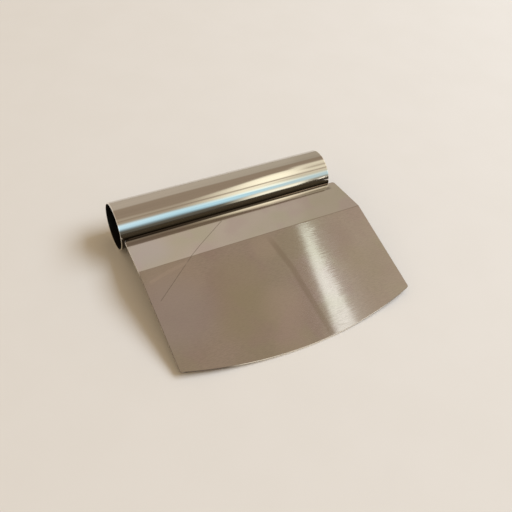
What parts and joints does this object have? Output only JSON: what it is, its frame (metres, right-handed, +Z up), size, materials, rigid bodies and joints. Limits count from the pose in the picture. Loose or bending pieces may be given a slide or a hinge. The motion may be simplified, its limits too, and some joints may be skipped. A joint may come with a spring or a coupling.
{
  "type": "bowl scraper",
  "caption": "Hand-held steel scraper: a wide sheet blade with one crosswise bend and a curved working edge, welded to an open round tube handle.",
  "frame": {"origin": "on the worktop, under the middle of the part's box, with the part lying as it rests on its handle and the middle of its curved edge", "axes": "+X along the handle, +Y from the curved edge to the handle, so that -Y is the working side, +Z up"},
  "size_m": [0.1274, 0.1107, 0.0254],
  "materials": {
    "blade_steel": "brushed along the handle's length, with a smoother upper panel",
    "handle_steel": "bright polished",
    "weld_metal": "as-welded ripple, wire brushed"
  },
  "bodies": {
    "root": {"blade": "blade_steel", "handle_tube": "handle_steel", "weld_seam": "weld_metal"}
  },
  "joints": []
}
